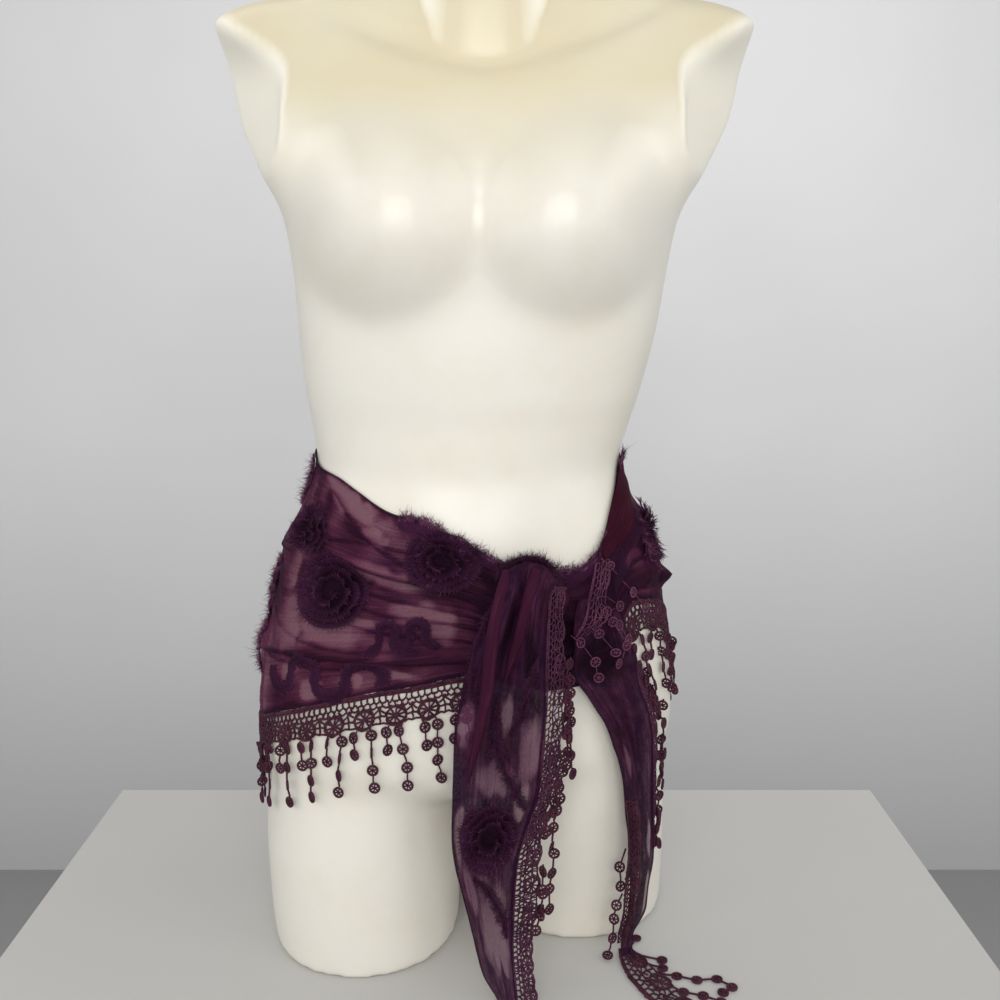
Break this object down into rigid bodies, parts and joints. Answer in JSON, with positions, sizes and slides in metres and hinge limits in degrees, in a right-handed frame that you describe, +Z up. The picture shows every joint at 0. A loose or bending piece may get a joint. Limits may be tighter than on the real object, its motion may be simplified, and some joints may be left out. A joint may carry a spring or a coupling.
{
  "type": "crochet-edged triangle shawl on a torso display form",
  "caption": "Sheer triangle shawl with ribbon roses, lace edging and lace drops, tied at the front round the hips of a limbless torso display form.",
  "frame": {"origin": "on the plane that the form stands on, under the middle of the whole object's box", "axes": "+Z up, along the form's height; the form's front and the knot face -Y; the wearer's left hip is towards +X"},
  "size_m": [0.4178, 0.3326, 0.82],
  "materials": {
    "form_shell": "smooth glossy ivory shell",
    "sheer_cloth": "sheer crinkled chiffon in dark plum",
    "lace_edging": "corded lace net with wheels in dark plum",
    "lace_drops": "hanging cords of small lace discs in dark plum",
    "ribbon": "gathered ribbon with frayed edges in dark violet"
  },
  "bodies": {
    "root": {"display_form": "form_shell", "shawl_right_hip": "sheer_cloth", "lace_right_hip": "lace_edging", "drops_right_hip": "lace_drops", "shawl_back": "sheer_cloth", "lace_back": "lace_edging", "drops_back": "lace_drops", "shawl_left_hip": "sheer_cloth", "lace_left_hip": "lace_edging", "drops_left_hip": "lace_drops", "turned_edge": "sheer_cloth", "knot": "sheer_cloth", "tail_over": "sheer_cloth", "lace_over": "lace_edging", "drops_over": "lace_drops", "tail_under": "sheer_cloth", "lace_under": "lace_edging", "drops_under": "lace_drops", "lace_under_front": "lace_edging", "lace_end": "lace_edging", "drops_end": "lace_drops", "lace_loose": "lace_edging", "drops_loose": "lace_drops", "rose_1": "ribbon", "rose_2": "ribbon", "rose_3": "ribbon", "rose_4": "ribbon", "rose_5": "ribbon", "rose_6": "ribbon", "rose_7": "ribbon", "rose_8": "ribbon", "rose_tail_1": "ribbon", "scroll_1": "ribbon", "scroll_2": "ribbon", "scroll_3": "ribbon", "scroll_4": "ribbon"}
  },
  "joints": []
}
